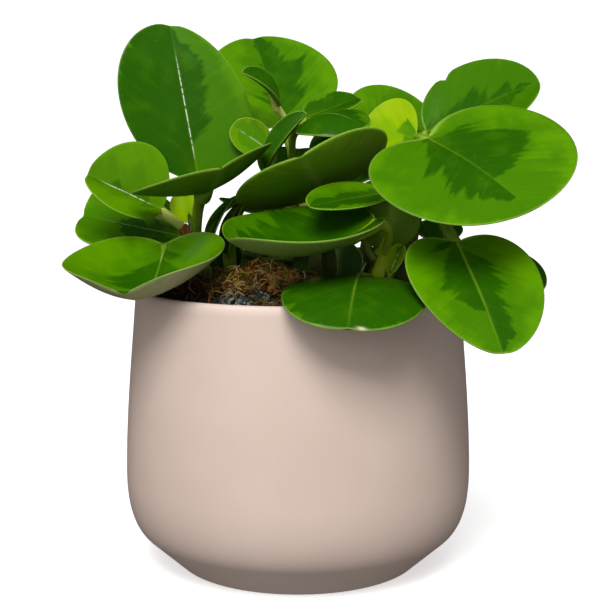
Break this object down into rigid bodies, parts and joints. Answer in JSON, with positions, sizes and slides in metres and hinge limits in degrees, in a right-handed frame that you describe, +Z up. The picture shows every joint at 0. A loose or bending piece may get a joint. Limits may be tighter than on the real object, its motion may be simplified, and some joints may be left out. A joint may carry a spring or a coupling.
{
  "type": "potted peperomia",
  "caption": "Round tapered ceramic plant pot with soil and moss, holding a bushy house plant with thick, glossy, variegated spoon-shaped leaves on fleshy stalks.",
  "frame": {"origin": "centre of the pot's flat foot, on the surface that it stands on", "axes": "+Z up along the pot's own axis, +X to the right and -Y towards the plant's front"},
  "size_m": [0.204, 0.189, 0.2341],
  "materials": {
    "pot": "satin matte, pinkish taupe",
    "soil": "rough, damp",
    "moss": "fibrous",
    "stem": "smooth, fleshy",
    "leaf": "waxy gloss",
    "young_leaf": "waxy gloss"
  },
  "bodies": {
    "root": {"pot": "pot", "stem_left": "stem", "stem_inner_left": "stem", "stem_middle": "stem", "stem_right": "stem", "stem_front": "stem", "stem_centre": "stem", "stem_back_left": "stem", "stem_back_right": "stem", "soil": "soil", "moss": "moss", "leaf_tall_left": "leaf", "leaf_left_small": "leaf", "leaf_left_behind": "leaf", "leaf_front_left_bowl": "leaf", "leaf_left_raised": "leaf", "leaf_back_tall": "leaf", "leaf_young_edge": "leaf", "leaf_young_lime": "young_leaf", "leaf_folded_dark": "leaf", "leaf_inner_drooping": "leaf", "leaf_inner_edge": "leaf", "leaf_axil": "young_leaf", "leaf_inner_back": "leaf", "leaf_inner_low": "leaf", "leaf_right_flat": "leaf", "leaf_arching": "leaf", "leaf_middle_low": "leaf", "leaf_back_right": "leaf", "leaf_lime_right": "young_leaf", "leaf_upper_right": "leaf", "leaf_large_right": "leaf", "leaf_hanging_right": "leaf", "leaf_hanging_behind": "leaf", "leaf_right_inner": "leaf", "leaf_front_hanging": "leaf", "leaf_centre_bowl": "leaf", "leaf_underside": "leaf", "leaf_centre_raised": "leaf", "leaf_centre_small": "leaf", "leaf_back_1_1": "leaf", "leaf_back_1_2": "leaf", "leaf_back_1_3": "leaf", "leaf_back_1_4": "leaf", "leaf_back_2_1": "leaf", "leaf_back_2_2": "leaf", "leaf_back_3_1": "leaf", "leaf_back_3_2": "leaf", "leaf_back_3_3": "leaf"}
  },
  "joints": []
}
